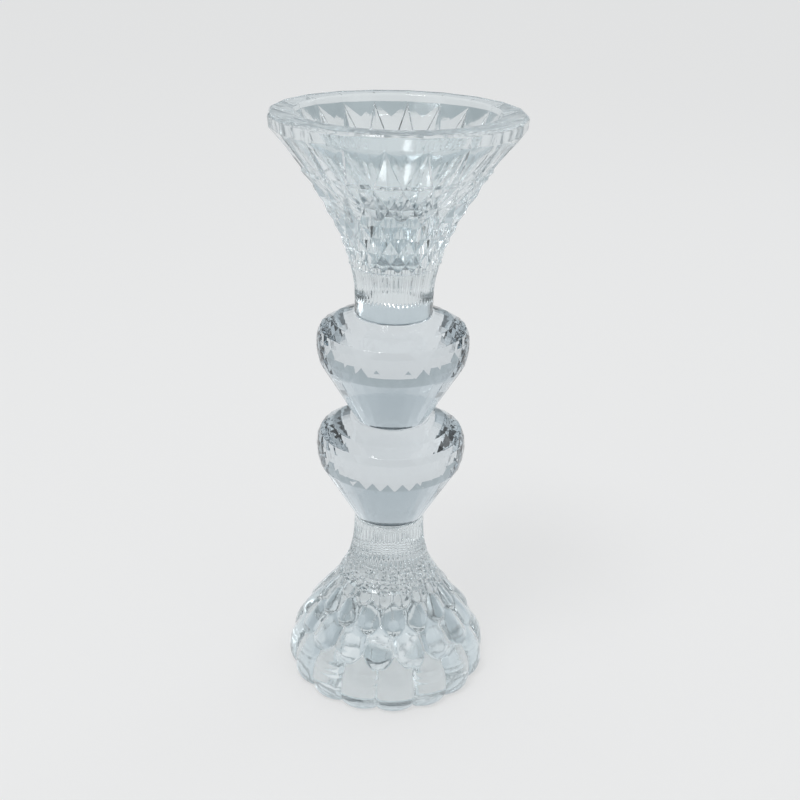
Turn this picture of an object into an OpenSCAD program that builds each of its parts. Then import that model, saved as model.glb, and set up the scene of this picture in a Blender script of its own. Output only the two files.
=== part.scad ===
// Glass candlestick: a pressed-glass cup, two cut-crystal beads and a pressed-glass
// foot, bonded face to face on one upright axis. Millimetres, +Z up, with the origin
// on the table under the middle of the foot. The front of the object faces -Y.

/* [Foot] */
// Height of the foot, from the table to its flat top
foot_height = 61.4; // [51:0.2:74]
// Radius of the foot across the tips of its petals
foot_radius = 35.8; // [31:0.2:43]
// Radius of the foot's neck, just under the lower bead
foot_neck_radius = 12.2; // [11.8:0.1:14.4]
// Number of petals round the skirt, and of bosses in each tier
petal_count = 16; // [12:4:20]
// Depth of the grooves between the petals
petal_relief = 3; // [1.6:0.1:3.4]
// Height at which the petals stand out furthest
petal_height = 5; // [3:0.5:7]
// Height of the middle of the petals, where the tiers of bosses start
first_tier_height = 9; // [8:0.5:10.5]
// Step from the petals to the first tier of bosses
tier_step = 10.5; // [9:0.5:12]
// Share of that step that each further tier keeps
tier_shrink = 0.82; // [0.78:0.01:0.84]
// How far the foot's lower edge is rounded in
foot_edge_round = 2.2; // [1:0.1:3]
// Radius of the hollow under the foot
hollow_radius = 26; // [20:0.5:27]
// Depth of the hollow under the foot
hollow_depth = 8; // [5:0.5:10]

/* [Beads] */
// Height of one bead
bead_height = 36.8; // [30:0.2:45]
// Radius of a bead at its girdle
bead_radius = 25.4; // [21:0.2:31]
// Radius of a bead's flat lower face
bead_foot_radius = 12.4; // [10:0.1:15]
// Radius of a bead's flat upper face
bead_table_radius = 13.2; // [11:0.1:16]
// Number of facets round a bead
bead_facets = 32; // [16:4:40]
// Height of the long cone of facets below the girdle
pavilion_height = 20.2; // [16.8:0.2:24]
// Height of the girdle's bands of triangles
girdle_height = 9.4; // [7.6:0.2:11.4]

/* [Cup] */
// Height of the cup, from its collar to its rim
cup_height = 64.4; // [54:0.2:78]
// Radius of the rim across its corners
rim_radius = 39.8; // [36:0.2:48]
// Radius of the bowl at the rim
bowl_radius = 31; // [26:0.2:34]
// Number of sides of the rim
cup_facets = 20; // [16:4:24]
// Height of the upright band round the rim
rim_band = 4.4; // [3:0.2:6]
// Bevel along the rim's outer edge, and inside its lip
rim_bevel = 0.9; // [0.4:0.1:1.2]
// Height of the tall triangles under the band
triangle_height = 13.4; // [11:0.2:16]
// Radius of the cup at the foot of the tall triangles
shoulder_radius = 29.8; // [27:0.2:32]
// Number of rows of points in the diamond cutting
diamond_rows = 6; // [4:2:8]
// Depth of the grooves between the diamonds
diamond_relief = 1.3; // [0.5:0.1:1.6]
// Length of the neck below the diamonds, collar and flutes together
cup_neck_length = 17; // [15:0.5:20]
// Radius of the plain collar that stands on the upper bead
collar_radius = 12.8; // [11:0.1:13.2]
// Height of the plain collar
collar_height = 5; // [3:0.5:7]

/* [Candle socket] */
// Diameter of the taper candle that the socket takes
candle_diameter = 22.2; // [20:0.1:23]
// Clearance all round the candle
candle_clearance = 0.2; // [0.1:0.05:0.5]
// Depth of the socket below the bowl
socket_depth = 20; // [15:0.5:23]
// Chamfer round the socket's mouth
socket_chamfer = 1.6; // [0.8:0.1:2.5]
// Thickness of glass round the foot of the socket, where the diamonds start
socket_wall = 3.7; // [3:0.1:5]

/* [Flutes] */
// Depth of the flutes on both necks
flute_depth = 0.5; // [0.2:0.05:0.6]

/* [Bonds] */
// Thickness of each film of clear adhesive
bond_thickness = 0.2; // [0.1:0.05:0.4]
// How far a film stops short of the edge of the smaller face
bond_inset = 0.3; // [0.1:0.1:1]

/* [Hidden] */

// Heights of the faces where one piece stands on the next.
lower_bead_z = foot_height + bond_thickness;
upper_bead_z = lower_bead_z + bead_height + bond_thickness;
cup_z = upper_bead_z + bead_height + bond_thickness;
rim_z = cup_z + cup_height;

// The pressed pieces were set down at slightly different turns about the axis.
foot_turn = 6.25;
lower_bead_turn = 4;
upper_bead_turn = 11.25;
cup_turn = 13;

// Foot: the flare ends a little below the flat top, which has a small bevel.
foot_bevel = 1.4;
foot_top_radius = foot_neck_radius - 0.6;
foot_top_share = foot_top_radius / foot_neck_radius;
flare_power = 1.5;

// Foot: the mesh of its petals and bosses. Two points make one flute of the neck.
points_per_petal = 6;
tier_rings = 4;
tier_count = 4;
neck_rings = 6;
edge_rings = [0, 0.15, 0.45, 1];

// Foot: half the width of a boss, in petals, and how far it reaches above and below its
// middle, in tiers.
boss_width = 0.52;
boss_above = 1;
boss_below = 0.45;

// Beads: how much the girdle's lower edge draws in, and where the two rows of corners
// on the crown lie between the girdle and the flat top, as shares of its height and of
// its spread.
girdle_taper = 1.1;
girdle_round = 0.3;
crown_corners = [[0.31, 0.89], [0.65, 0.55]];

// Cup: levels and the bowl.
waist_z = cup_z + cup_neck_length;
shoulder_z = rim_z - rim_band - triangle_height;
band_z = rim_z - rim_band;
flare_of_cup = 1.35;
flutes_per_facet = 2;
flute_end = 1;
neck_swell = 0.25;
row_growth = 0.45;
socket_radius = candle_diameter / 2 + candle_clearance;
waist_radius = socket_radius + socket_wall;
socket_floor_z = waist_z + 0.4;
bowl_z = socket_floor_z + socket_depth;
bowl_floor_radius = socket_radius + socket_chamfer;
bowl_sag = 2;
past = 1;

function polar(radius, angle, z) = [radius * cos(angle), radius * sin(angle), z];

function axis_distance(point) = norm([point[0], point[1]]);

// A level ring with two points to a facet: even points take one radius, odd the other.
function facet_ring(facets, turn, z, even_radius, odd_radius) =
    [for (i = [0:2 * facets - 1])
        polar(i % 2 == 0 ? even_radius : odd_radius, turn + i * 180 / facets, z)];

// A regular polygon as such a ring, with its corners on the even points.
function polygon_ring(facets, turn, z, radius) =
    facet_ring(facets, turn, z, radius, radius * cos(180 / facets));

// The number of points in all the rings below ring m.
function points_below(rings, m) = m == 0 ? 0 : len(rings[m - 1]) + points_below(rings, m - 1);

// Faces between two rings with as many points. Their slanting edges join the outer
// points of both rings where ridge is true, and the inner points where it is false.
function even_band(lower, upper, first_lower, first_upper, ridge) =
    let (n = len(lower))
    [for (i = [0:n - 1])
        let (j = (i + 1) % n)
        let (rising = axis_distance(lower[i]) + axis_distance(upper[j])
                    > axis_distance(lower[j]) + axis_distance(upper[i]))
        let (a = first_lower + i, b = first_lower + j, c = first_upper + j, d = first_upper + i)
        each (rising == ridge ? [[a, d, c], [a, c, b]] : [[a, d, b], [b, d, c]])];

// Faces between a ring and the next one up, which has half as many points.
function halving_band(lower, upper, first_lower, first_upper) =
    let (n = len(upper))
    [for (i = [0:n - 1])
        let (a = first_lower + 2 * i, b = a + 1, c = first_lower + (2 * i + 2) % len(lower))
        let (d = first_upper + i, e = first_upper + (i + 1) % n)
        each [[a, d, b], [b, d, e], [b, e, c]]];

// A solid on level rings of points, lowest ring first, with one ridge flag to a band.
module ringed_solid(rings, ridge) {
    top = len(rings) - 1;
    first = [for (m = [0:top]) points_below(rings, m)];
    sides = [for (m = [0:top - 1])
        each (len(rings[m]) == len(rings[m + 1])
            ? even_band(rings[m], rings[m + 1], first[m], first[m + 1], ridge[m])
            : halving_band(rings[m], rings[m + 1], first[m], first[m + 1]))];
    bottom_cap = [[for (i = [0:len(rings[0]) - 1]) i]];
    top_cap = [[for (i = [len(rings[top]) - 1:-1:0]) first[top] + i]];
    polyhedron(points = [for (ring = rings) each ring], faces = concat(bottom_cap, top_cap, sides));
}

// A thin film on the flat face at height z, inside the smaller of two faces.
module bond_film(z, face_a_radius, face_b_radius) {
    translate([0, 0, z])
        cylinder(h = bond_thickness, r = min(face_a_radius, face_b_radius) - bond_inset, $fn = 96);
}

// Radius over the petals and bosses of the foot at a height above the table.
function foot_outline(z) =
    let (rise = max(0, z - petal_height) / (foot_height - foot_bevel - petal_height))
    let (flare = pow((1 + cos(180 * min(1, rise))) / 2, flare_power))
    let (under = max(0, petal_height - z) / petal_height)
    foot_neck_radius + (foot_radius - foot_neck_radius) * flare
        - foot_edge_round * (1 - sqrt(1 - under * under));

// Height of a tier of bosses, counted from 0 at the middle of the petals.
function tier_z(tier) =
    first_tier_height + tier_step * (1 - pow(tier_shrink, tier)) / (1 - tier_shrink);

// Height of one domed boss of tier number of_tier at a point, from 0 to 1.
function dome(petals_round, tier, of_tier) =
    let (across = (petals_round - of_tier / 2) - round(petals_round - of_tier / 2))
    let (along = (tier - of_tier) / (tier > of_tier ? boss_above : boss_below))
    sqrt(max(0, 1 - pow(across / boss_width, 2) - along * along));

// How far a point stands out, from 0 in a groove to 1 on the middle of a boss. The
// bosses of one tier stand between those of the next.
function boss(petals_round, tier) =
    max([for (k = [-1:1]) if (floor(tier) + k >= 0) dome(petals_round, tier, floor(tier) + k)]);

// One ring of the foot at height z on tier number tier.
function foot_ring(z, tier) =
    let (depth = petal_relief * sqrt(1 - pow(tier / tier_count, 2)))
    [for (i = [0:petal_count * points_per_petal - 1])
        let (round_position = i / points_per_petal)
        polar(foot_outline(z) - depth * (1 - boss(round_position, tier)),
              foot_turn + round_position * 360 / petal_count, z)];

// One ring of the foot's neck, with upright flutes cut to a share of their full depth.
function foot_neck_ring(z, share) =
    facet_ring(petal_count * points_per_petal / 2, foot_turn, z,
               foot_outline(z), foot_outline(z) - share * flute_depth);

module foot_body() {
    edge = [for (share = edge_rings) foot_ring(share * petal_height, 0)];
    tiers = [for (k = [0:tier_rings * tier_count])
        foot_ring(tier_z(k / tier_rings), k / tier_rings)];
    flute_z = tier_z(tier_count);
    flute_step = (foot_height - 2 * foot_bevel - flute_z) / neck_rings;
    flutes = [for (k = [1:neck_rings]) foot_neck_ring(flute_z + k * flute_step, 1)];
    top = [
        foot_neck_ring(foot_height - foot_bevel, 0),
        [for (point = foot_neck_ring(foot_height, 0))
            [point[0] * foot_top_share, point[1] * foot_top_share, point[2]]]
    ];
    rings = concat(edge, tiers, flutes, top);
    ringed_solid(rings, [for (ring = rings) false]);
}

// The hollow is a cap of a sphere that meets the table face at hollow_radius.
module foot_hollow() {
    sphere_radius = (hollow_radius * hollow_radius + hollow_depth * hollow_depth) / (2 * hollow_depth);
    translate([0, 0, hollow_depth - sphere_radius])
        sphere(r = sphere_radius, $fn = 128);
}

module foot() {
    color([0.80, 0.84, 0.86])
        difference() {
            foot_body();
            foot_hollow();
        }
}

module foot_bond() {
    color([0.92, 0.94, 0.90])
        bond_film(foot_height, foot_top_radius, bead_foot_radius);
}

// A cut stone on level polygons, lowest first. Each level is [height, radius, shift],
// where shift is 0 or 1 and turns the polygon by half a facet. Levels with the same
// shift are joined by flat four-sided facets, the others by triangles.
module cut_stone(facets, levels) {
    top = len(levels) - 1;
    points = [for (level = levels, i = [0:facets - 1])
        polar(level[1], (i + level[2] / 2) * 360 / facets, level[0])];
    sides = [
        for (m = [0:top - 1], i = [0:facets - 1])
            let (a = m * facets + i, b = m * facets + (i + 1) % facets, c = b + facets, d = a + facets)
            let (shift = levels[m + 1][2] - levels[m][2])
            each (shift == 0 ? [[a, d, c, b]]
                : shift > 0 ? [[a, d, b], [b, d, c]]
                : [[a, d, c], [a, c, b]])
    ];
    bottom_cap = [[for (i = [0:facets - 1]) i]];
    top_cap = [[for (i = [facets - 1:-1:0]) top * facets + i]];
    polyhedron(points = points, faces = concat(bottom_cap, top_cap, sides));
}

// One bead, standing on its small lower face at height z.
module bead(z, turn) {
    girdle_z = pavilion_height;
    crown_z = girdle_z + girdle_height;
    crown_height = bead_height - crown_z;
    spread = bead_radius - bead_table_radius;
    color([0.74, 0.79, 0.86])
        translate([0, 0, z])
            rotate([0, 0, turn])
                cut_stone(bead_facets, [
                    [0, bead_foot_radius, 0],
                    [girdle_z, bead_radius - girdle_taper, 0],
                    [girdle_z + girdle_height / 3, bead_radius - girdle_round, 1],
                    [girdle_z + girdle_height * 2 / 3, bead_radius, 0],
                    [crown_z, bead_radius - girdle_round, 1],
                    for (k = [0:1])
                        [crown_z + crown_corners[k][0] * crown_height,
                         bead_table_radius + crown_corners[k][1] * spread, k],
                    [bead_height, bead_table_radius, 1]
                ]);
}

module lower_bead() {
    bead(lower_bead_z, lower_bead_turn);
}

module bead_bond() {
    color([0.92, 0.94, 0.90])
        bond_film(lower_bead_z + bead_height, bead_table_radius, bead_foot_radius);
}

module upper_bead() {
    bead(upper_bead_z, upper_bead_turn);
}

module cup_bond() {
    color([0.92, 0.94, 0.90])
        bond_film(upper_bead_z + bead_height, bead_table_radius, collar_radius);
}

// A ring of the diamond cutting. Points that stand out lie half a facet round from
// those of the rows above and below. In the top row they lie under the rim's corners.
function diamond_ring(row) =
    let (rise = row / diamond_rows)
    let (z = waist_z + (shoulder_z - waist_z) * rise * (1 - row_growth + row_growth * rise))
    let (climb = pow((z - waist_z) / (shoulder_z - waist_z), flare_of_cup))
    let (high = waist_radius + (shoulder_radius - waist_radius) * climb)
    let (low = high * cos(180 / cup_facets) - diamond_relief * (0.5 + 0.5 * rise))
    let (even_row = (diamond_rows - row) % 2 == 0)
    facet_ring(cup_facets, cup_turn, z, even_row ? high : low, even_row ? low : high);

// A ring of the cup's neck, with upright flutes cut to a share of their full depth.
function cup_neck_ring(z, radius, share) =
    facet_ring(cup_facets * flutes_per_facet, cup_turn, z, radius, radius - share * flute_depth);

module cup_body() {
    collar_z = cup_z + collar_height;
    mid_z = (collar_z + waist_z) / 2;
    neck = [
        cup_neck_ring(cup_z, collar_radius, 0),
        cup_neck_ring(collar_z, collar_radius, 0),
        cup_neck_ring(collar_z + flute_end, collar_radius, 1),
        cup_neck_ring(mid_z, collar_radius + neck_swell * (waist_radius - collar_radius), 1),
        cup_neck_ring(waist_z - flute_end, waist_radius - diamond_relief, 1)
    ];
    diamonds = [for (row = [0:diamond_rows]) diamond_ring(row)];
    rim = [
        polygon_ring(cup_facets, cup_turn, band_z, rim_radius - rim_bevel / 3),
        polygon_ring(cup_facets, cup_turn, rim_z - rim_bevel, rim_radius),
        polygon_ring(cup_facets, cup_turn, rim_z, rim_radius - rim_bevel)
    ];
    ringed_solid(concat(neck, diamonds, rim), concat(
        [for (ring = neck) true],
        [for (ring = diamonds) false],
        [for (k = [1:len(rim) - 1]) true]
    ));
}

// The bowl's wall is an arc that bulges outwards by bowl_sag from the straight line
// between its floor and the lip. Below it is the round socket, with a chamfered mouth.
module bowl_and_socket() {
    lip_z = rim_z - rim_bevel;
    run = bowl_radius - bowl_floor_radius;
    climb = lip_z - bowl_z;
    chord = norm([run, climb]);
    arc_radius = (chord * chord / 4 + bowl_sag * bowl_sag) / (2 * bowl_sag);
    arc_x = (bowl_floor_radius + bowl_radius) / 2 - (arc_radius - bowl_sag) * climb / chord;
    arc_z = (bowl_z + lip_z) / 2 + (arc_radius - bowl_sag) * run / chord;
    rotate_extrude($fn = 128) {
        intersection() {
            translate([arc_x, arc_z])
                circle(r = arc_radius, $fn = 256);
            translate([0, bowl_z])
                square([rim_radius, climb]);
        }
        polygon([
            [0, socket_floor_z],
            [socket_radius, socket_floor_z],
            [socket_radius, bowl_z - socket_chamfer],
            [bowl_floor_radius, bowl_z],
            [0, bowl_z]
        ]);
        polygon([
            [0, lip_z],
            [bowl_radius, lip_z],
            [bowl_radius + rim_bevel + past, rim_z + past],
            [0, rim_z + past]
        ]);
    }
}

module candle_cup() {
    color([0.78, 0.83, 0.86])
        difference() {
            cup_body();
            bowl_and_socket();
        }
}

foot();
foot_bond();
lower_bead();
bead_bond();
upper_bead();
cup_bond();
candle_cup();
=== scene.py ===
"""Looks of the glass candlestick: pressed cup and foot, two cut beads, three clear bonds."""
import math
import random

import bmesh
import bpy
from mathutils import Matrix, Vector


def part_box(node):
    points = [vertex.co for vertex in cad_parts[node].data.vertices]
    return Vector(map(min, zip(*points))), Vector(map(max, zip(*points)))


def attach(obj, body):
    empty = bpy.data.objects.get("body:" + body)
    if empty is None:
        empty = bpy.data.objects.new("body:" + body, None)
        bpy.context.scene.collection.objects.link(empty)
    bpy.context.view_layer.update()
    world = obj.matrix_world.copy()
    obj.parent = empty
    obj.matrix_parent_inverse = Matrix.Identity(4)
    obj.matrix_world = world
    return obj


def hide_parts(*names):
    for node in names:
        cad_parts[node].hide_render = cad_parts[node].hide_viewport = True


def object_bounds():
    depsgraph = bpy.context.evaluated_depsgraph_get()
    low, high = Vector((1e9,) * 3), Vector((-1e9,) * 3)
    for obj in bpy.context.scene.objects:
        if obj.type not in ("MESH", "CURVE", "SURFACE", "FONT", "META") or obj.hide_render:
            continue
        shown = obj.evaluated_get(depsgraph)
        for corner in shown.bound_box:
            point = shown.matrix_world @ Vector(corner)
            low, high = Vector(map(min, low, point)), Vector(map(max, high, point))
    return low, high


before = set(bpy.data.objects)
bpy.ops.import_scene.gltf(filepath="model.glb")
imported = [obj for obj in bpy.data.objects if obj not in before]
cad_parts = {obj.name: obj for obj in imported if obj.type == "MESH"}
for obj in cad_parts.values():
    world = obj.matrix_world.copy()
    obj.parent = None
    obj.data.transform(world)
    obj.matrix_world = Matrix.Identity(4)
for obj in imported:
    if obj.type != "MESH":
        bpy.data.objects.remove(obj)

CAD_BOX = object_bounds()
MM = 0.001

# Heights and sizes that the frame gives.
FOOT_LOW, FOOT_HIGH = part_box("foot")
CUP_LOW, CUP_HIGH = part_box("candle_cup")
OBJECT_HEIGHT = CAD_BOX[1].z - CAD_BOX[0].z
BOND_NAMES = ("foot_bond", "bead_bond", "cup_bond")

# Foot. Heights are counted in tiers, which are rows of bosses that get lower towards the top;
# a boss's size is a share of a petal across and of a tier up or down.
PETALS = 16
FOOT_TURN = 6.25
FOOT_RADIUS = 35.8 * MM
FOOT_NECK_RADIUS = 12.2 * MM
FOOT_TOP_RADIUS = 11.6 * MM
FOOT_BEVEL = 1.4 * MM
PETAL_HEIGHT = 5 * MM
PETAL_RELIEF = 3.0 * MM
FOOT_EDGE_ROUND = 2.2 * MM
FIRST_TIER_HEIGHT = 9 * MM
TIER_STEP = 10.5 * MM
TIER_SHRINK = 0.82
TIERS = 4
BOSS_WIDTH = 0.52
BOSS_RIPPLE = 0.05
BOSS_RIPPLES = 2
SKIRT_LINES = 3
SKIRT_LINE_DEPTH = 0.16 * MM
SKIRT_LINE_TIER = 0.5
BOSS_ABOVE = 1.0
BOSS_BELOW = 0.45
FLARE_POWER = 1.5
HOLLOW_RADIUS = 26 * MM
HOLLOW_DEPTH = 8 * MM
FOOT_FLUTES = 48
# The stippled band above the bosses: where it starts, its rows and its uneven depth.
SPARKLE_TIER = 3.25
SPARKLE_START = 0.5 * MM
SPARKLE_ROWS = 5
SPARKLE_POINTS = 110
SPARKLE_PITCH = 1.5 * MM
SPARKLE_DEPTH = 0.38 * MM
SPARKLE_JITTER = 0.26 * MM
SPARKLE_SEED = 5

# Beads.
BEAD_FACETS = 32
BEAD_RADIUS = 25.4 * MM
BEAD_FOOT_RADIUS = 12.4 * MM
BEAD_TABLE_RADIUS = 13.2 * MM
PAVILION_HEIGHT = 20.2 * MM
GIRDLE_HEIGHT = 9.4 * MM
GIRDLE_TAPER = 1.1 * MM
GIRDLE_ROUND = 0.3 * MM
CROWN_CORNERS = ((0.31, 0.89), (0.65, 0.55))
BEAD_TURNS = {"lower_bead": 4, "upper_bead": 11.25}
BEADS_BETWEEN = (("lower_bead", "foot_bond", "bead_bond"), ("upper_bead", "bead_bond", "cup_bond"))

# Cup.
CUP_FACETS = 20
CUP_TURN = 13
RIM_RADIUS = 39.8 * MM
RIM_BAND = 4.4 * MM
RIM_BEVEL = 0.9 * MM
BOWL_RADIUS = 31 * MM
TRIANGLE_HEIGHT = 13.4 * MM
SHOULDER_RADIUS = 29.8 * MM
DIAMOND_ROWS = 6
DIAMOND_RELIEF = 1.3 * MM
TRIANGLE_PIT = 0.3 * MM
PLATE_MARGIN = 0.2
PLATE_HEIGHT = 0.45 * MM
CUP_NECK_LENGTH = 17 * MM
COLLAR_RADIUS = 12.8 * MM
COLLAR_HEIGHT = 5 * MM
FLUTES_PER_FACET = 3
CUP_FLARE_POWER = 1.35
ROW_GROWTH = 0.45
SOCKET_RADIUS = 11.3 * MM
SOCKET_WALL = 3.7 * MM
WAIST_RADIUS = SOCKET_RADIUS + SOCKET_WALL
SOCKET_DEPTH = 20 * MM
SOCKET_CHAMFER = 1.6 * MM
SOCKET_FLOOR_RISE = 0.4 * MM
SOCKET_CORNER = 1.5 * MM
BOWL_SAG = 2 * MM
COLLAR_EDGE = 0.25 * MM
WAIST_GAP = 0.6 * MM
FLUTE_RUN_OUT = 3

# Mesh density, in steps round or along.
ROUND_STEPS = 4
PETAL_SAMPLES = 16
HOLLOW_RINGS = 24
SKIRT_RINGS = 8
TIER_RINGS = 18
FLUTE_SAMPLES = 6
FOOT_NECK_RINGS = 40
CUP_NECK_RINGS = 14
BOWL_SAMPLES = 240
BOWL_RINGS = 28
FILM_SAMPLES = 96
FILM_RINGS = 4

# Light. SKY goes from the horizon up: height of the direction (0 level, 1 straight up), colour.
# The flags are dark cards at both sides and at the front. Each has an edge, where its direction's
# share of X or Y turns dark, and FLAG_FOOT is the height over which they all set in.
SKY = (
    (0.0, (0.44, 0.49, 0.51)),
    (0.27, (0.53, 0.58, 0.61)),
    (0.36, (0.63, 0.68, 0.71)),
    (0.6, (0.74, 0.78, 0.80)),
    (1.0, (1.0, 1.0, 1.0)),
)
FLAG_TONE = 0.03
FLAG_EDGE = (0.74, 0.86)
FRONT_FLAG_TONE = 0.03
FRONT_FLAG_EDGE = (0.7, 0.82)
FLAG_FOOT = (0.1, 0.18)
FLOOR_ALBEDO = 0.3
FLOOR_GLOW = 0.545
FLOOR_REACH = 8.0
FLOOR_GAP = 0.2 * MM

# Soft lights: name, place, size, power in watts, colour.
SOFTBOXES = (
    ("key", (-0.25, -0.35, 1.1), (0.3, 0.3), 3.0, (1, 1, 1)),
    ("rim", (0.7, 0.6, 0.7), (0.25, 0.5), 0.5, (0.93, 0.97, 1)),
)

# Camera: distances are in heights of the object, angles in degrees, lens in millimetres.
CAMERA_DISTANCE, CAMERA_HEIGHT = 1.711, 1.292
CAMERA_PITCH, CAMERA_YAW, CAMERA_ROLL = 24.31, 0.47, 1.5
CAMERA_LENS, CAMERA_SENSOR = 49.99, 36
CAMERA_CLIP = 0.01

# Glass: the surface's colour, the tint that deepens with thickness and its density, waves and a
# finer grain (features to the metre, height), and the range of roughness.
PRESSED_IOR = 1.50
PRESSED_COLOUR = (0.86, 0.905, 0.92)
PRESSED_TINT, PRESSED_DENSITY = (0.35, 0.46, 0.50), 3
PRESSED_WAVES, PRESSED_GRAIN = (160, 0.04 * MM), (900, 0.018 * MM)
PRESSED_HAZE = (0.04, 0.13)
CRYSTAL_IOR = 1.53
CRYSTAL_COLOUR = (0.95, 0.97, 0.98)
CRYSTAL_TINT, CRYSTAL_DENSITY = (0.10, 0.26, 0.36), 5
CRYSTAL_WAVES, CRYSTAL_GRAIN = (60, 0.005 * MM), (1500, 0.0003 * MM)
CRYSTAL_HAZE = (0.0, 0.005)
SMUDGE_SCALE, SMUDGE_DETAIL = 90, 3
SMUDGE_EDGE = (0.4, 0.7)
BUMP_DETAIL = 2
BOND_TONE = (0.88, 0.96)
BOND_CLEARNESS = 0.8
CLOUD_SCALE, CLOUD_DETAIL = 700, 2

# Edges. The two creases are the sharpest angles, in degrees, that still shade as smooth.
FLUTE_DEPTH = 0.5 * MM
EDGE_BEVEL = 0.12 * MM
PRESSED_BEVEL = 0.35 * MM
BEVEL_MARGIN = 0.2 * MM
BEVEL_ANGLE = 3
BEVEL_SEGMENTS = 3
FLAT_ANGLE = 0.4
CREASE = 30
FOOT_CREASE = 40

# Bonds.
BOND_GAP = 0.01 * MM
MENISCUS = 0.06 * MM

# How often light may be bent or mirrored on its way through the glass.
BOUNCES = 32
CLEAR_BOUNCES = 16
GLOSSY_BOUNCES = 12


# ---- Mesh building -------------------------------------------------------------------

def polar(radius, angle, z):
    turn = math.radians(angle)
    return Vector((radius * math.cos(turn), radius * math.sin(turn), z))


def circle(radius, z, count, turn=0.0):
    """Points of a level circle."""
    return [polar(radius, turn + i * 360 / count, z) for i in range(count)]


def quarter_turn():
    """Cosine and sine of the steps of a quarter turn, both ends included."""
    turns = [math.radians(90 * k / ROUND_STEPS) for k in range(ROUND_STEPS + 1)]
    return [(math.cos(turn), math.sin(turn)) for turn in turns]


def axis_distance(vert):
    return math.hypot(vert.co.x, vert.co.y)


class Skin:
    """A closed skin that grows ring by ring. All its rings start at the same angle."""

    def __init__(self):
        self.bm = bmesh.new()
        self.last = None

    def cap(self, verts, material=0, smooth=False):
        face = self.bm.faces.new(verts)
        face.material_index = material
        face.smooth = smooth

    def start(self, points, material=0, smooth=False):
        self.last = [self.bm.verts.new(p) for p in points]
        self.cap(self.last, material, smooth)

    def grow(self, points, smooth=True, ridge=None):
        """Adds a ring and the band below it: quads, or triangles whose slanting edges
        join the outer points (ridge True) or the inner points (ridge False)."""
        ring = [self.bm.verts.new(p) for p in points]
        lower, count, ring_count = self.last, len(self.last), len(ring)
        corners = []
        if count != ring_count:
            i = j = 0
            while i < count or j < ring_count:
                a, d = lower[i % count], ring[j % ring_count]
                if (i + 1) * ring_count <= (j + 1) * count and i < count:
                    i += 1
                    corners.append((a, lower[i % count], d))
                else:
                    j += 1
                    corners.append((a, ring[j % ring_count], d))
        else:
            for i in range(count):
                a, b = lower[i], lower[(i + 1) % count]
                c, d = ring[(i + 1) % count], ring[i]
                if ridge is None:
                    corners.append((a, b, c, d))
                elif (axis_distance(a) + axis_distance(c) > axis_distance(b) + axis_distance(d)) == ridge:
                    corners += [(a, b, c), (a, c, d)]
                else:
                    corners += [(a, b, d), (b, c, d)]
        for verts in corners:
            face = self.bm.faces.new(verts)
            face.smooth = smooth
        self.last = ring

    def add_plate(self, before, under, tip, top):
        """A raised triangle with a fold from `under` to `top`, inside sloping edges."""
        centre = (before.co + tip.co + top.co) / 3
        out = (tip.co - before.co).cross(top.co - before.co).normalized()
        rise = out * math.copysign(PLATE_HEIGHT, out.dot(centre))
        corners = [before, under, tip, top]
        plate = [self.bm.verts.new(v.co.lerp(centre, PLATE_MARGIN) + rise) for v in corners]
        self.bm.faces.new((plate[0], plate[1], plate[3]))
        self.bm.faces.new((plate[1], plate[2], plate[3]))
        for k in range(4):
            self.bm.faces.new((corners[k - 1], corners[k], plate[k], plate[k - 1]))

    def grow_triangles(self, points, pit):
        """Adds a ring whose even points are the corners of a polygon, and below it a row
        of tall triangles: hollow ones under its sides, raised ones under its corners."""
        ring = [self.bm.verts.new(p) for p in points]
        lower, count = self.last, len(ring)
        for i in range(0, count, 2):
            left, middle, right = ring[i], ring[i + 1], ring[(i + 2) % count]
            before, under, tip = lower[i - 1], lower[i], lower[(i + 1) % count]
            centre = (left.co + right.co + tip.co) / 3
            inwards = Vector((-centre.x, -centre.y, 0)).normalized()
            hollow = self.bm.verts.new(centre + pit * inwards)
            for verts in ((left, hollow, middle), (middle, hollow, right), (right, hollow, tip),
                          (tip, hollow, left)):
                self.bm.faces.new(verts)
            self.add_plate(before, under, tip, left)
        self.last = ring

    def finish(self, name, materials, bevels=(), crease=CREASE):
        """Makes the object, with flat facets' edges bevelled: each of the bevels is an
        offset and the heights that its edges lie between."""
        bm = self.bm
        bmesh.ops.recalc_face_normals(bm, faces=bm.faces)
        flat = [f for f in bm.faces if not f.smooth]
        flat_edges = list({e for f in flat for e in f.edges if all(not g.smooth for g in e.link_faces)})
        bmesh.ops.dissolve_limit(bm, angle_limit=math.radians(FLAT_ANGLE), use_dissolve_boundaries=False,
                                 verts=list({v for e in flat_edges for v in e.verts}),
                                 edges=flat_edges, delimit={"MATERIAL"})
        for offset, low, high in bevels:
            sharp = [e for e in bm.edges if e.calc_face_angle() > math.radians(BEVEL_ANGLE)
                     and low < (e.verts[0].co.z + e.verts[1].co.z) / 2 < high
                     and all(not f.smooth for f in e.link_faces)]
            bmesh.ops.bevel(bm, geom=sharp, offset=offset, segments=BEVEL_SEGMENTS, profile=0.5,
                            affect="EDGES", clamp_overlap=True)
        for edge in bm.edges:
            if len(edge.link_faces) == 2:
                mixed = edge.link_faces[0].smooth != edge.link_faces[1].smooth
                edge.smooth = not mixed and edge.calc_face_angle() < math.radians(crease)
        mesh = bpy.data.meshes.new(name)
        bm.to_mesh(mesh)
        bm.free()
        for material in materials:
            mesh.materials.append(material)
        piece = bpy.data.objects.new(name, mesh)
        bpy.context.scene.collection.objects.link(piece)
        return piece


# ---- Materials -----------------------------------------------------------------------

def new_material(name):
    material = bpy.data.materials.new(name)
    material.use_nodes = True
    nodes = material.node_tree.nodes
    return material, nodes, material.node_tree.links, nodes["Principled BSDF"]


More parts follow.
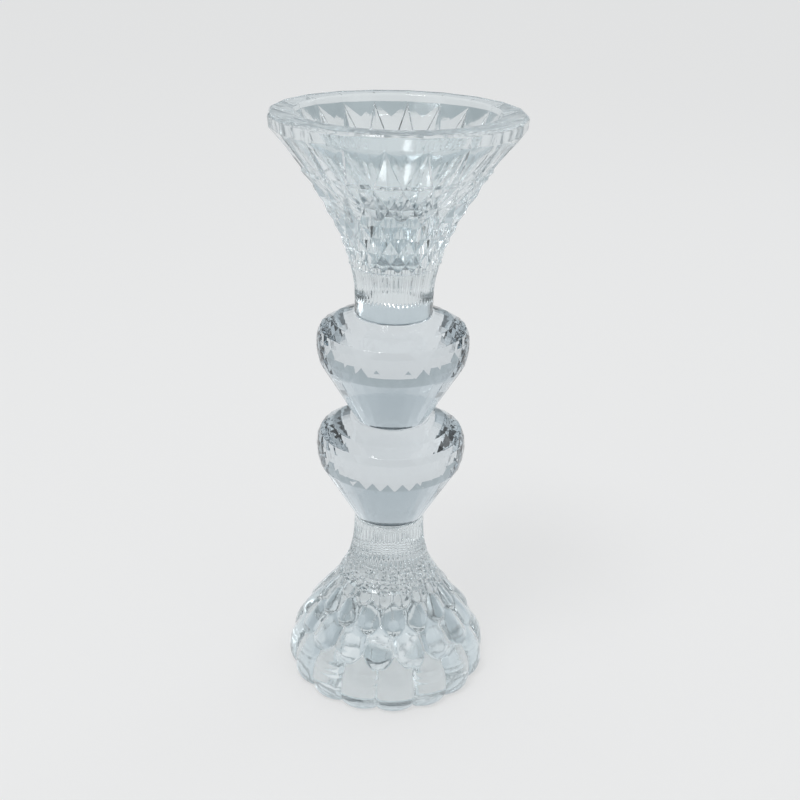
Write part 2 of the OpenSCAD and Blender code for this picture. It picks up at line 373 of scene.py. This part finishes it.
def add_noise(nodes, links, scale, detail):
    """Noise in the object's own metres, with `scale` features to the metre."""
    place = nodes.new("ShaderNodeTexCoord")
    noise = nodes.new("ShaderNodeTexNoise")
    noise.inputs["Scale"].default_value = scale
    noise.inputs["Detail"].default_value = detail
    links.new(place.outputs["Object"], noise.inputs["Vector"])
    return noise.outputs["Fac"]


def add_range(nodes, links, value, low, high, start=0.3, end=0.7):
    mapped = nodes.new("ShaderNodeMapRange")
    for socket, number in (("From Min", start), ("From Max", end), ("To Min", low), ("To Max", high)):
        mapped.inputs[socket].default_value = number
    links.new(value, mapped.inputs["Value"])
    return mapped.outputs["Result"]


def add_tint(nodes, links, tint, density):
    absorb = nodes.new("ShaderNodeVolumeAbsorption")
    absorb.inputs["Color"].default_value = (*tint, 1)
    absorb.inputs["Density"].default_value = density
    links.new(absorb.outputs["Volume"], nodes["Material Output"].inputs["Volume"])


def glass(name, ior, colour, tint, density, waves, grain, haze):
    """Clear glass: waves and a finer grain from the mould or the wheel, each a pair of
    features to the metre and height, haze from handling, and a tint that deepens with
    thickness."""
    material, nodes, links, shader = new_material(name)
    shader.inputs["Base Color"].default_value = (*colour, 1)
    shader.inputs["Transmission Weight"].default_value = 1
    shader.inputs["IOR"].default_value = ior
    smudge = add_noise(nodes, links, SMUDGE_SCALE, SMUDGE_DETAIL)
    links.new(add_range(nodes, links, smudge, *haze, *SMUDGE_EDGE), shader.inputs["Roughness"])
    normal = None
    for scale, height in (waves, grain):
        bump = nodes.new("ShaderNodeBump")
        bump.inputs["Strength"].default_value = 1
        bump.inputs["Distance"].default_value = height
        links.new(add_noise(nodes, links, scale, BUMP_DETAIL), bump.inputs["Height"])
        if normal:
            links.new(normal, bump.inputs["Normal"])
        normal = bump.outputs["Normal"]
    links.new(normal, shader.inputs["Normal"])
    add_tint(nodes, links, tint, density)
    return material


def bonded_glass(name, tint, density):
    """The part of a face that clear adhesive wets: light goes straight through it."""
    material, nodes, links, shader = new_material(name)
    shader.inputs["Base Color"].default_value = (1, 1, 1, 1)
    shader.inputs["Transmission Weight"].default_value = 1
    shader.inputs["IOR"].default_value = 1.0
    shader.inputs["Roughness"].default_value = 0
    add_tint(nodes, links, tint, density)
    return material


def bond_material():
    """Clear adhesive that has set a little cloudy."""
    material, nodes, links, shader = new_material("clear_bond")
    cloud = add_range(nodes, links, add_noise(nodes, links, CLOUD_SCALE, CLOUD_DETAIL), *BOND_TONE)
    links.new(cloud, shader.inputs["Base Color"])
    shader.inputs["Transmission Weight"].default_value = BOND_CLEARNESS
    shader.inputs["IOR"].default_value = 1.0
    shader.inputs["Roughness"].default_value = 0
    return material


def floor_material():
    """A pale sheet lit from below as well as from above, as for photographing glass."""
    material, nodes, links, shader = new_material("pale_floor")
    shader.inputs["Base Color"].default_value = (FLOOR_ALBEDO, FLOOR_ALBEDO, FLOOR_ALBEDO, 1)
    shader.inputs["Roughness"].default_value = 1
    shader.inputs["Specular IOR Level"].default_value = 0
    shader.inputs["Emission Color"].default_value = (1, 1, 1, 1)
    shader.inputs["Emission Strength"].default_value = FLOOR_GLOW
    return material


# ---- Foot ----------------------------------------------------------------------------

FOOT_HEIGHT = FOOT_HIGH.z - FOOT_LOW.z


def foot_outline(z):
    """Radius over the petals and bosses at a height."""
    rise = max(0.0, z - PETAL_HEIGHT) / (FOOT_HEIGHT - FOOT_BEVEL - PETAL_HEIGHT)
    flare = ((1 + math.cos(math.pi * min(1.0, rise))) / 2) ** FLARE_POWER
    under = max(0.0, PETAL_HEIGHT - z) / PETAL_HEIGHT
    return (FOOT_NECK_RADIUS + (FOOT_RADIUS - FOOT_NECK_RADIUS) * flare
            - FOOT_EDGE_ROUND * (1 - math.sqrt(1 - under * under)))


def tier_z(tier):
    return FIRST_TIER_HEIGHT + TIER_STEP * (1 - TIER_SHRINK ** tier) / (1 - TIER_SHRINK)


def dome(petals_round, tier, of_tier):
    """Height of one domed boss of tier `of_tier` at a point, from 0 to 1."""
    across = (petals_round - of_tier / 2) - round(petals_round - of_tier / 2)
    along = (tier - of_tier) / (BOSS_ABOVE if tier > of_tier else BOSS_BELOW)
    return math.sqrt(max(0.0, 1 - (across / BOSS_WIDTH) ** 2 - along ** 2))


def boss(petals_round, tier):
    """How far a point stands out, from 0 in a groove to 1 on the middle of a boss, with
    faint ripples that follow the boss's edge."""
    lower = math.floor(tier)
    height = max(dome(petals_round, tier, lower + k) for k in (-1, 0, 1) if lower + k >= 0)
    return height - BOSS_RIPPLE * math.sin(math.pi * BOSS_RIPPLES * height) ** 2


def foot_ring(z, tier, samples):
    """A ring over the bosses of a tier, with shallow lines low in the petals."""
    depth = PETAL_RELIEF * math.sqrt(1 - (tier / TIERS) ** 2)
    radius = foot_outline(z)
    if tier < SKIRT_LINE_TIER:
        radius -= SKIRT_LINE_DEPTH * math.sin(math.pi * SKIRT_LINES * tier / SKIRT_LINE_TIER) ** 2
    return [polar(radius - depth * (1 - boss(i / samples, tier)),
                  FOOT_TURN + i / samples * 360 / PETALS, z)
            for i in range(PETALS * samples)]


def fluted_ring(z, radius, share, flutes, samples, turn):
    """A ring with rounded upright flutes, cut to a share of their full depth."""
    waves = [0.5 - 0.5 * math.cos(2 * math.pi * i / samples) for i in range(samples)]
    count = flutes * samples
    return [polar(radius - share * FLUTE_DEPTH * waves[i % samples], turn + i * 360 / count, z)
            for i in range(count)]


def hollow_ring(radius):
    """A ring of the shallow round hollow under the foot."""
    sphere = (HOLLOW_RADIUS ** 2 + HOLLOW_DEPTH ** 2) / (2 * HOLLOW_DEPTH)
    z = HOLLOW_DEPTH - sphere + math.sqrt(sphere * sphere - radius * radius)
    return circle(radius, z, PETALS * PETAL_SAMPLES, FOOT_TURN)


def grow_stipple(skin, z):
    """Grows a band of small uneven facets from a height up, and returns the next height."""
    jitter = random.Random(SPARKLE_SEED)
    for row in range(2 * SPARKLE_ROWS + 1):
        radius = foot_outline(z) - SPARKLE_DEPTH * (row % 2)
        points = [polar(radius - jitter.uniform(0, SPARKLE_JITTER),
                        FOOT_TURN + i * 360 / SPARKLE_POINTS, z)
                  for i in range(SPARKLE_POINTS)]
        skin.grow(points, smooth=False, ridge=False)
        z += SPARKLE_PITCH / 2
    return z


def make_foot(pressed, bonded):
    """From the hollow out and up: the skirt's edge, the bosses, the stipple and the neck."""
    skin = Skin()
    skin.start(hollow_ring(HOLLOW_RADIUS / HOLLOW_RINGS), smooth=True)
    for k in range(2, HOLLOW_RINGS + 1):
        skin.grow(hollow_ring(HOLLOW_RADIUS * k / HOLLOW_RINGS))
    for k in range(SKIRT_RINGS + 1):
        z = PETAL_HEIGHT * (1 - math.cos(math.pi / 2 * k / SKIRT_RINGS))
        skin.grow(foot_ring(z, 0, PETAL_SAMPLES))
    for k in range(round(TIER_RINGS * SPARKLE_TIER) + 1):
        skin.grow(foot_ring(tier_z(k / TIER_RINGS), k / TIER_RINGS, PETAL_SAMPLES), ridge=False)
    flute_low = grow_stipple(skin, tier_z(SPARKLE_TIER) + SPARKLE_START)
    flute_high = FOOT_HEIGHT - 2 * FOOT_BEVEL
    for k in range(FOOT_NECK_RINGS + 1):
        z = flute_low + (flute_high - flute_low) * k / FOOT_NECK_RINGS
        skin.grow(fluted_ring(z, foot_outline(z), 1.0, FOOT_FLUTES, FLUTE_SAMPLES, FOOT_TURN))
    top_count = FOOT_FLUTES * FLUTE_SAMPLES
    for cosine, sine in quarter_turn():
        radius = FOOT_TOP_RADIUS + (FOOT_NECK_RADIUS - FOOT_TOP_RADIUS) * cosine
        skin.grow(circle(radius, FOOT_HEIGHT - FOOT_BEVEL * (1 - sine), top_count, FOOT_TURN))
    film = circle(bond_radius("foot_bond"), FOOT_HEIGHT, top_count, FOOT_TURN)
    skin.grow(film, smooth=False)
    skin.cap(skin.last, material=1)
    return skin.finish("foot_glass", [pressed, bonded], crease=FOOT_CREASE)


# ---- Beads ---------------------------------------------------------------------------

def bond_radius(node):
    low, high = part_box(node)
    return (high.x - low.x) / 2


def make_bead(node, below, above, crystal, bonded):
    """A level is a height, a radius, and whether its even (0) or odd (1) points are corners."""
    low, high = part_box(node)
    z, height, turn = low.z, high.z - low.z, BEAD_TURNS[node]
    crown = PAVILION_HEIGHT + GIRDLE_HEIGHT
    spread = BEAD_RADIUS - BEAD_TABLE_RADIUS
    levels = [
        (0, BEAD_FOOT_RADIUS, 0),
        (PAVILION_HEIGHT, BEAD_RADIUS - GIRDLE_TAPER, 0),
        (PAVILION_HEIGHT + GIRDLE_HEIGHT / 3, BEAD_RADIUS - GIRDLE_ROUND, 1),
        (PAVILION_HEIGHT + GIRDLE_HEIGHT * 2 / 3, BEAD_RADIUS, 0),
        (crown, BEAD_RADIUS - GIRDLE_ROUND, 1),
        *((crown + rise * (height - crown), BEAD_TABLE_RADIUS + share * spread, k)
          for k, (rise, share) in enumerate(CROWN_CORNERS)),
        (height, BEAD_TABLE_RADIUS, 1),
    ]
    skin = Skin()
    count = BEAD_FACETS * 4
    skin.start(circle(bond_radius(below), z, count, turn), material=1)
    for level, radius, shift in levels:
        flat = radius * math.cos(math.pi / BEAD_FACETS)
        points = [polar(radius if i % 2 == shift else flat, turn + i * 180 / BEAD_FACETS, z + level)
                  for i in range(2 * BEAD_FACETS)]
        skin.grow(points, smooth=False, ridge=True)
    skin.grow(circle(bond_radius(above), z + height, count, turn), smooth=False)
    skin.cap(skin.last, material=1)
    return skin.finish(node + "_glass", [crystal, bonded], [(EDGE_BEVEL, low.z, high.z)])


# ---- Cup -----------------------------------------------------------------------------

def diamond_points(row, waist_z, shoulder_z):
    """The points of a row of diamonds, which stand out and lie back in turn."""
    rise = row / DIAMOND_ROWS
    z = waist_z + (shoulder_z - waist_z) * rise * (1 - ROW_GROWTH + ROW_GROWTH * rise)
    climb = ((z - waist_z) / (shoulder_z - waist_z)) ** CUP_FLARE_POWER
    high = WAIST_RADIUS + (SHOULDER_RADIUS - WAIST_RADIUS) * climb
    flat = high * math.cos(math.pi / CUP_FACETS)
    low = flat - DIAMOND_RELIEF * (0.5 + 0.5 * rise)
    out = (DIAMOND_ROWS - row) % 2
    return [polar(high if i % 2 == out else low, CUP_TURN + i * 180 / CUP_FACETS, z)
            for i in range(2 * CUP_FACETS)]


def rim_points(z, radius):
    """The corners of the many-sided rim and the middles of its sides."""
    flat = radius * math.cos(math.pi / CUP_FACETS)
    return [polar(radius if i % 2 == 0 else flat, CUP_TURN + i * 180 / CUP_FACETS, z)
            for i in range(2 * CUP_FACETS)]


def bowl_outline(bowl_z, lip_z):
    """Radius and height down the bowl's wall, along an arc that bulges outwards."""
    floor_radius = SOCKET_RADIUS + SOCKET_CHAMFER
    run, climb = BOWL_RADIUS - floor_radius, lip_z - bowl_z
    chord = math.hypot(run, climb)
    arc = (chord * chord / 4 + BOWL_SAG ** 2) / (2 * BOWL_SAG)
    arc_x = (floor_radius + BOWL_RADIUS) / 2 - (arc - BOWL_SAG) * climb / chord
    arc_z = (bowl_z + lip_z) / 2 + (arc - BOWL_SAG) * run / chord
    heights = [lip_z - climb * k / BOWL_RINGS for k in range(BOWL_RINGS + 1)]
    return [(arc_x + math.sqrt(arc * arc - (z - arc_z) ** 2), z) for z in heights]


def grow_mouth(skin, radius, z, size):
    """Rounds a mouth's edge, from its flat face down into the mouth."""
    for cosine, sine in quarter_turn()[1:]:
        skin.grow(circle(radius + size * (1 - sine), z - size * (1 - cosine), BOWL_SAMPLES, CUP_TURN))


def make_cup(pressed):
    """From the collar up the outside, over the rim and down the bowl into the socket. The bond
    doesn't wet the collar, which keeps it pale."""
    cup_z, rim_z = CUP_LOW.z, CUP_HIGH.z
    waist_z = cup_z + CUP_NECK_LENGTH
    shoulder_z = rim_z - RIM_BAND - TRIANGLE_HEIGHT
    flutes = FLUTES_PER_FACET * CUP_FACETS
    neck_count = flutes * FLUTE_SAMPLES
    skin = Skin()
    skin.start(circle(COLLAR_RADIUS - COLLAR_EDGE, cup_z, neck_count, CUP_TURN))
    skin.grow(circle(COLLAR_RADIUS, cup_z + COLLAR_EDGE, neck_count, CUP_TURN))
    skin.grow(circle(COLLAR_RADIUS, cup_z + COLLAR_HEIGHT, neck_count, CUP_TURN))
    flute_low, flute_high = cup_z + COLLAR_HEIGHT, waist_z - WAIST_GAP
    for k in range(1, CUP_NECK_RINGS + 1):
        share = k / CUP_NECK_RINGS
        z = flute_low + (flute_high - flute_low) * share
        radius = COLLAR_RADIUS + (WAIST_RADIUS - DIAMOND_RELIEF / 2 - COLLAR_RADIUS) * share ** 2
        skin.grow(fluted_ring(z, radius, min(1.0, k / FLUTE_RUN_OUT), flutes, FLUTE_SAMPLES, CUP_TURN))
    for row in range(DIAMOND_ROWS + 1):
        skin.grow(diamond_points(row, waist_z, shoulder_z), smooth=False, ridge=False)
    skin.grow_triangles(rim_points(rim_z - RIM_BAND, RIM_RADIUS - RIM_BEVEL / 3), TRIANGLE_PIT)
    skin.grow(rim_points(rim_z - RIM_BEVEL, RIM_RADIUS), smooth=False, ridge=True)
    skin.grow(rim_points(rim_z, RIM_RADIUS - RIM_BEVEL), smooth=False, ridge=True)
    skin.grow(circle(BOWL_RADIUS + RIM_BEVEL, rim_z, BOWL_SAMPLES, CUP_TURN), smooth=False)
    grow_mouth(skin, BOWL_RADIUS, rim_z, RIM_BEVEL)
    bowl_z = waist_z + SOCKET_FLOOR_RISE + SOCKET_DEPTH
    for radius, z in bowl_outline(bowl_z, rim_z - RIM_BEVEL)[1:]:
        skin.grow(circle(radius, z, BOWL_SAMPLES, CUP_TURN))
    grow_mouth(skin, SOCKET_RADIUS, bowl_z, SOCKET_CHAMFER)
    floor_z = bowl_z - SOCKET_DEPTH
    for cosine, sine in quarter_turn():
        skin.grow(circle(SOCKET_RADIUS - SOCKET_CORNER * (1 - cosine),
                         floor_z + SOCKET_CORNER * (1 - sine), BOWL_SAMPLES, CUP_TURN))
    skin.cap(skin.last, smooth=False)
    soft = rim_z - RIM_BAND - BEVEL_MARGIN
    return skin.finish("cup_glass", [pressed],
                       [(PRESSED_BEVEL, soft, rim_z + MM), (EDGE_BEVEL, cup_z + MM, soft)])


# ---- Bonds ---------------------------------------------------------------------------

def make_bond(node, material):
    """A thin round film with a hollow meniscus for an edge."""
    low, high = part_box(node)
    radius = bond_radius(node)
    bottom, top = low.z + BOND_GAP, high.z - BOND_GAP
    skin = Skin()
    skin.start(circle(radius, bottom, FILM_SAMPLES))
    for k in range(1, FILM_RINGS):
        share = k / FILM_RINGS
        inward = MENISCUS * math.sin(math.pi * share)
        skin.grow(circle(radius - inward, bottom + (top - bottom) * share, FILM_SAMPLES))
    skin.grow(circle(radius, top, FILM_SAMPLES))
    skin.cap(skin.last)
    return skin.finish(node + "_film", [material])


# ---- Stage ---------------------------------------------------------------------------

def make_floor():
    mesh = bpy.data.meshes.new("floor")
    reach = FLOOR_REACH
    z = CAD_BOX[0].z - FLOOR_GAP
    corners = [(-reach, -reach, z), (reach, -reach, z), (reach, reach, z), (-reach, reach, z)]
    mesh.from_pydata(corners, [], [(0, 1, 2, 3)])
    mesh.materials.append(floor_material())
    floor = bpy.data.objects.new("floor", mesh)
    bpy.context.scene.collection.objects.link(floor)


def make_world():
    world = bpy.data.worlds.new("studio")
    bpy.context.scene.world = world
    world.use_nodes = True
    nodes, links = world.node_tree.nodes, world.node_tree.links
    place = nodes.new("ShaderNodeTexCoord")
    split = nodes.new("ShaderNodeSeparateXYZ")
    links.new(place.outputs["Generated"], split.inputs["Vector"])
    ramp = nodes.new("ShaderNodeValToRGB")
    ramp.color_ramp.interpolation = "EASE"
    ramp.color_ramp.elements.remove(ramp.color_ramp.elements[1])
    for k, (height, colour) in enumerate(SKY):
        stop = ramp.color_ramp.elements[0] if k == 0 else ramp.color_ramp.elements.new(height)
        stop.position = height
        stop.color = (*colour, 1)
    links.new(split.outputs["Z"], ramp.inputs["Fac"])
    side = nodes.new("ShaderNodeMath")
    side.operation = "ABSOLUTE"
    links.new(split.outputs["X"], side.inputs[0])
    side_flag = add_range(nodes, links, side.outputs[0], 1.0, FLAG_TONE, *FLAG_EDGE)
    front = nodes.new("ShaderNodeMath")
    front.operation = "MULTIPLY"
    front.inputs[1].default_value = -1
    links.new(split.outputs["Y"], front.inputs[0])
    front_flag = add_range(nodes, links, front.outputs[0], 1.0, FRONT_FLAG_TONE, *FRONT_FLAG_EDGE)
    above = add_range(nodes, links, split.outputs["Z"], 0.0, 1.0, *FLAG_FOOT)
    colour = ramp.outputs["Color"]
    for flag in (side_flag, front_flag):
        mix = nodes.new("ShaderNodeMix")
        mix.data_type = "RGBA"
        mix.blend_type = "MULTIPLY"
        links.new(above, mix.inputs["Factor"])
        links.new(colour, mix.inputs["A"])
        links.new(flag, mix.inputs["B"])
        colour = mix.outputs["Result"]
    links.new(colour, nodes["Background"].inputs["Color"])
    nodes["Background"].inputs["Strength"].default_value = 1.0


def make_softbox(name, place, size, power, colour):
    """A rectangular soft light that faces the object's middle."""
    data = bpy.data.lights.new(name, "AREA")
    data.shape = "RECTANGLE"
    data.size, data.size_y = size
    data.energy = power
    data.color = colour
    light = bpy.data.objects.new(name, data)
    middle = Vector((0, 0, OBJECT_HEIGHT / 2))
    light.location = Vector(place)
    light.rotation_euler = (middle - light.location).to_track_quat("-Z", "Y").to_euler()
    bpy.context.scene.collection.objects.link(light)


def make_camera():
    """A camera at the object's front, above it, looking down, with its top leaning a little."""
    distance, height = CAMERA_DISTANCE * OBJECT_HEIGHT, CAMERA_HEIGHT * OBJECT_HEIGHT
    pitch, yaw, roll = (math.radians(angle) for angle in (CAMERA_PITCH, CAMERA_YAW, CAMERA_ROLL))
    forward = Vector((math.sin(yaw) * math.cos(pitch), math.cos(yaw) * math.cos(pitch), -math.sin(pitch)))
    right = Vector((math.cos(yaw), -math.sin(yaw), 0))
    up = right.cross(forward)
    tilted_right = math.cos(roll) * right + math.sin(roll) * up
    tilted_up = math.cos(roll) * up - math.sin(roll) * right
    data = bpy.data.cameras.new("camera")
    data.sensor_width = CAMERA_SENSOR
    data.lens = CAMERA_LENS
    data.clip_start = CAMERA_CLIP
    camera = bpy.data.objects.new("camera", data)
    axes = Matrix((tilted_right, tilted_up, -forward)).transposed()
    camera.matrix_world = Matrix.Translation((0, -distance, height)) @ axes.to_4x4()
    bpy.context.scene.collection.objects.link(camera)
    bpy.context.scene.camera = camera


def place(piece, node, slot):
    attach(piece, "root")
    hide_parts(node)


def main():
    make_camera()
    make_floor()
    make_world()
    for softbox in SOFTBOXES:
        make_softbox(*softbox)
    pressed = glass("pressed_glass", PRESSED_IOR, PRESSED_COLOUR, PRESSED_TINT, PRESSED_DENSITY,
                    PRESSED_WAVES, PRESSED_GRAIN, PRESSED_HAZE)
    crystal = glass("cut_crystal", CRYSTAL_IOR, CRYSTAL_COLOUR, CRYSTAL_TINT, CRYSTAL_DENSITY,
                    CRYSTAL_WAVES, CRYSTAL_GRAIN, CRYSTAL_HAZE)
    bonded_pressed = bonded_glass("bonded_pressed", PRESSED_TINT, PRESSED_DENSITY)
    bonded_crystal = bonded_glass("bonded_crystal", CRYSTAL_TINT, CRYSTAL_DENSITY)
    bond = bond_material()
    place(make_foot(pressed, bonded_pressed), "foot", "pressed_glass")
    for node, below, above in BEADS_BETWEEN:
        place(make_bead(node, below, above, crystal, bonded_crystal), node, "cut_crystal")
    place(make_cup(pressed), "candle_cup", "pressed_glass")
    for node in BOND_NAMES:
        place(make_bond(node, bond), node, "clear_bond")
    scene = bpy.context.scene
    scene.view_settings.view_transform = "Standard"
    scene.cycles.max_bounces = BOUNCES
    scene.cycles.transmission_bounces = BOUNCES
    scene.cycles.transparent_max_bounces = CLEAR_BOUNCES
    scene.cycles.glossy_bounces = GLOSSY_BOUNCES


main()
